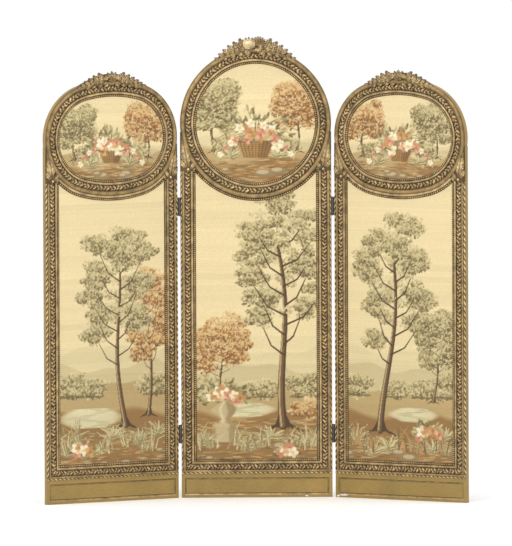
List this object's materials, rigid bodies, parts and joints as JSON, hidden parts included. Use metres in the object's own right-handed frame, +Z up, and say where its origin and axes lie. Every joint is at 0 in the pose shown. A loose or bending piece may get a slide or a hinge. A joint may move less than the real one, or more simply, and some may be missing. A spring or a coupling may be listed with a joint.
{
  "type": "folding screen",
  "caption": "Giltwood folding screen: carved arched frames hold woven roundels over tall woven panels, and the outer leaves are hinged to fold forward.",
  "frame": {"origin": "on the floor under the middle of the centre leaf, in its middle plane", "axes": "+Z up, +X to the viewer's right along the centre leaf, -Y towards the viewer on the carved side"},
  "size_m": [1.6756, 0.3475, 1.839],
  "materials": {
    "giltwood": "gilded, worn satin",
    "tapestry": "woven wool, matte",
    "strainer_wood": "plain, unfinished",
    "lining_cloth": "plain weave, matte",
    "hinge_iron": "dark, dull"
  },
  "bodies": {
    "centre": {"centre_left_stile": "giltwood", "centre_right_stile": "giltwood", "centre_ring_rail": "giltwood", "centre_bottom_rail": "giltwood", "centre_ring_moulding": "giltwood", "centre_stile_mouldings": "giltwood", "centre_bottom_moulding": "giltwood", "centre_sight_beads": "giltwood", "centre_ropes": "giltwood", "centre_spandrel_leaves": "giltwood", "centre_base_trim": "giltwood", "centre_crest": "giltwood", "centre_roundel_panel": "tapestry", "centre_lower_panel": "tapestry", "centre_strainers": "strainer_wood", "centre_lining": "lining_cloth", "left_fixed_plates": "hinge_iron", "right_fixed_plates": "hinge_iron", "left_hinge_pins": "hinge_iron", "right_hinge_pins": "hinge_iron"},
    "left_leaf": {"left_left_stile": "giltwood", "left_right_stile": "giltwood", "left_ring_rail": "giltwood", "left_bottom_rail": "giltwood", "left_ring_moulding": "giltwood", "left_stile_mouldings": "giltwood", "left_bottom_moulding": "giltwood", "left_sight_beads": "giltwood", "left_ropes": "giltwood", "left_spandrel_leaves": "giltwood", "left_base_trim": "giltwood", "left_crest": "giltwood", "left_roundel_panel": "tapestry", "left_lower_panel": "tapestry", "left_strainers": "strainer_wood", "left_lining": "lining_cloth", "left_swing_plates": "hinge_iron"},
    "right_leaf": {"right_left_stile": "giltwood", "right_right_stile": "giltwood", "right_ring_rail": "giltwood", "right_bottom_rail": "giltwood", "right_ring_moulding": "giltwood", "right_stile_mouldings": "giltwood", "right_bottom_moulding": "giltwood", "right_sight_beads": "giltwood", "right_ropes": "giltwood", "right_spandrel_leaves": "giltwood", "right_base_trim": "giltwood", "right_crest": "giltwood", "right_roundel_panel": "tapestry", "right_lower_panel": "tapestry", "right_strainers": "strainer_wood", "right_lining": "lining_cloth", "right_swing_plates": "hinge_iron"}
  },
  "joints": [
    {"name": "left_fold", "type": "hinge", "parent": "centre", "child": "left_leaf", "pos_m": [-0.304, -0.019, 0.7075], "axis": [0, 0, 1], "range_deg": [-29.5, 150.5]},
    {"name": "right_fold", "type": "hinge", "parent": "centre", "child": "right_leaf", "pos_m": [0.304, -0.019, 0.7075], "axis": [0, 0, -1], "range_deg": [-32, 65]}
  ]
}
